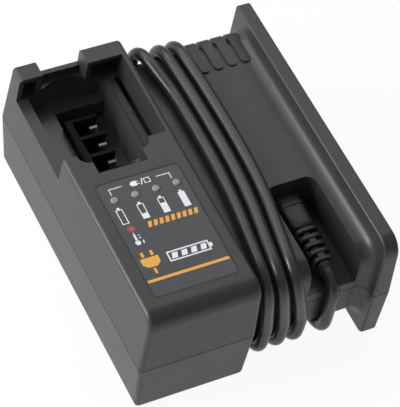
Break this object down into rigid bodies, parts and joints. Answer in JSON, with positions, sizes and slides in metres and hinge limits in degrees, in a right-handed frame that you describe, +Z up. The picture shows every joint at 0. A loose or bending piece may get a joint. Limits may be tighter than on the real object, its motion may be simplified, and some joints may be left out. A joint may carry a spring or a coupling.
{
  "type": "power tool battery charger",
  "caption": "Dark grey battery charger: a tall block with a battery bay and a control face, a lower bridge wound with its supply lead, and a thin flange.",
  "frame": {"origin": "middle of the housing's footprint on the table, under the rubber feet", "axes": "+X from the block to the flange, +Y from the front to the battery bay's end, +Z up"},
  "size_m": [0.13, 0.16, 0.0695],
  "materials": {
    "shell": "fine spark-eroded texture, satin dark grey",
    "cradle": "moulded black",
    "terminal": "moulded black",
    "spring_metal": "nickel plated spring strip",
    "overlay": "printed film, satin",
    "lens": "smoked translucent light pipe",
    "lamp": "moulded lamp package",
    "board": "green solder mask",
    "component": "moulded package",
    "ferrite": "sintered core",
    "copper_winding": "yellow tape over the winding",
    "can": "sleeved can",
    "aluminium": "extruded",
    "steel": "zinc plated",
    "rubber": "soft",
    "plate": "bare plate, nothing printed",
    "cord": "satin dark grey sheath"
  },
  "bodies": {
    "housing": {"upper_shell": "shell", "lower_shell": "shell", "battery_cradle": "cradle", "terminal_block": "terminal", "control_overlay": "overlay", "status_lamps": "lamp", "control_board": "board", "control_board_pillars": "shell", "main_board": "board", "heat_sink": "aluminium", "transformer_core": "ferrite", "transformer_winding": "copper_winding", "smoothing_capacitors": "can", "choke": "ferrite", "power_transistor": "component", "control_chip": "component", "board_connector": "component", "housing_screws": "steel", "board_screws": "steel", "rubber_feet": "rubber", "rating_plate": "plate", "supply_socket": "component", "socket_pin": "spring_metal", "cord_winding": "cord", "cord_tail": "cord", "end_connector": "cord", "end_connector_barrel": "spring_metal", "status_lens_1": "lens", "status_lens_2": "lens", "status_lens_3": "lens", "status_lens_4": "lens"},
    "supply_plug": {"supply_plug": "cord", "plug_strain_relief": "cord", "plug_barrel": "spring_metal", "cord_lead_in": "cord"},
    "contact_leaf_1": {"contact_leaf_1": "spring_metal"},
    "contact_leaf_2": {"contact_leaf_2": "spring_metal"},
    "contact_leaf_3": {"contact_leaf_3": "spring_metal"},
    "contact_leaf_4": {"contact_leaf_4": "spring_metal"}
  },
  "joints": [
    {"name": "plug_slide", "type": "slide", "parent": "housing", "child": "supply_plug", "axis": [0, -1, 0], "range_m": [0, 0.012]},
    {"name": "leaf_1_flex", "type": "hinge", "parent": "housing", "child": "contact_leaf_1", "pos_m": [-0.03, 0.0123, 0.03575], "axis": [1, 0, 0], "range_deg": [-8, 0], "stiffness_Nm_per_rad": 0.02},
    {"name": "leaf_2_flex", "type": "hinge", "parent": "housing", "child": "contact_leaf_2", "pos_m": [-0.03, 0.0234, 0.03575], "axis": [1, 0, 0], "range_deg": [-8, 0], "stiffness_Nm_per_rad": 0.02},
    {"name": "leaf_3_flex", "type": "hinge", "parent": "housing", "child": "contact_leaf_3", "pos_m": [-0.03, 0.0345, 0.03575], "axis": [1, 0, 0], "range_deg": [-8, 0], "stiffness_Nm_per_rad": 0.02},
    {"name": "leaf_4_flex", "type": "hinge", "parent": "housing", "child": "contact_leaf_4", "pos_m": [-0.03, 0.0456, 0.03575], "axis": [1, 0, 0], "range_deg": [-8, 0], "stiffness_Nm_per_rad": 0.02}
  ]
}
